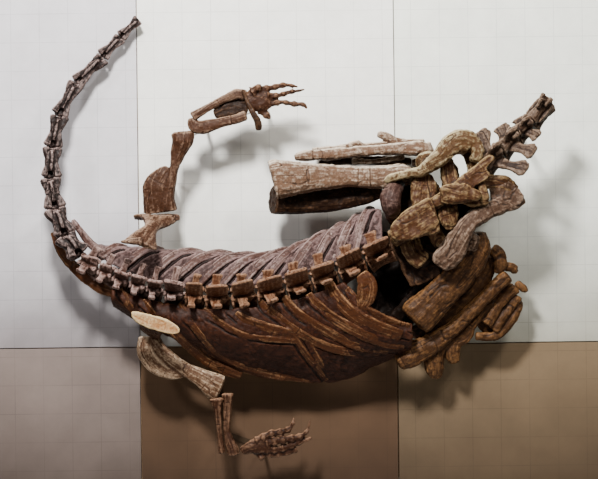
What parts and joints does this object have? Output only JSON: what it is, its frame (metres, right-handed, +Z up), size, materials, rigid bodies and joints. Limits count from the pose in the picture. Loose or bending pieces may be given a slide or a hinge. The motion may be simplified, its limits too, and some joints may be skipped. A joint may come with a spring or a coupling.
{
  "type": "wall-mounted plateosaur skeleton",
  "caption": "Life-size fossil skeleton of a long-necked dinosaur lying curled as found, fixed by a steel armature to a pale museum wall panel.",
  "frame": {"origin": "middle of the panel's back face, where it meets the wall", "axes": "+Z up, +X toward the tail (to the right seen from the front), -Y out from the wall toward the viewer"},
  "size_m": [2.197, 0.4162, 1.797],
  "materials": {
    "bone_grey": "grey-violet fossil bone, dull, pitted and cracked",
    "bone_brown": "dark red-brown fossil bone with rock left in its hollows, slight varnish",
    "bone_pale": "cream to brown fossil bone with dark cracks",
    "board_pale": "pale grey painted board with a faint ruled grid",
    "backing_wood": "raw laminated sheet",
    "steel_dark": "satin black paint on welded steel"
  },
  "bodies": {
    "root": {"armature": "steel_dark", "backing_sheet": "backing_wood", "board_left_lower": "board_pale", "board_left_upper": "board_pale", "board_middle_lower": "board_pale", "board_middle_upper": "board_pale", "board_right_lower": "board_pale", "board_right_upper": "board_pale", "femur_left": "bone_brown", "femur_right": "bone_pale", "fibula_left": "bone_brown", "fibula_right": "bone_pale", "foot_left": "bone_brown", "foot_right": "bone_pale", "hand_left": "bone_pale", "hand_right": "bone_brown", "humerus_left": "bone_pale", "humerus_right": "bone_brown", "ilium_left": "bone_brown", "ilium_right": "bone_brown", "neck_vertebra_1": "bone_grey", "neck_vertebra_2": "bone_grey", "neck_vertebra_3": "bone_grey", "neck_vertebra_4": "bone_grey", "neck_vertebra_5": "bone_grey", "neck_vertebra_6": "bone_grey", "neck_vertebra_7": "bone_grey", "neck_vertebra_8": "bone_grey", "neck_vertebra_9": "bone_grey", "pubis": "bone_brown", "radius_left": "bone_pale", "radius_right": "bone_brown", "rib_cage_left": "bone_brown", "rib_cage_right": "bone_grey", "sacrum": "bone_brown", "scapula_left": "bone_pale", "scapula_right": "bone_brown", "tail_vertebra_1": "bone_brown", "tail_vertebra_2": "bone_brown", "tail_vertebra_3": "bone_brown", "tail_vertebra_4": "bone_brown", "tibia_left": "bone_brown", "tibia_right": "bone_pale", "trunk_vertebra_01": "bone_grey", "trunk_vertebra_02": "bone_grey", "trunk_vertebra_03": "bone_grey", "trunk_vertebra_04": "bone_grey", "trunk_vertebra_05": "bone_grey", "trunk_vertebra_06": "bone_grey", "trunk_vertebra_07": "bone_grey", "trunk_vertebra_08": "bone_grey", "trunk_vertebra_09": "bone_brown", "trunk_vertebra_10": "bone_brown", "trunk_vertebra_11": "bone_brown", "trunk_vertebra_12": "bone_brown", "trunk_vertebra_13": "bone_brown", "trunk_vertebra_14": "bone_brown", "ulna_left": "bone_pale", "ulna_right": "bone_brown"}
  },
  "joints": []
}
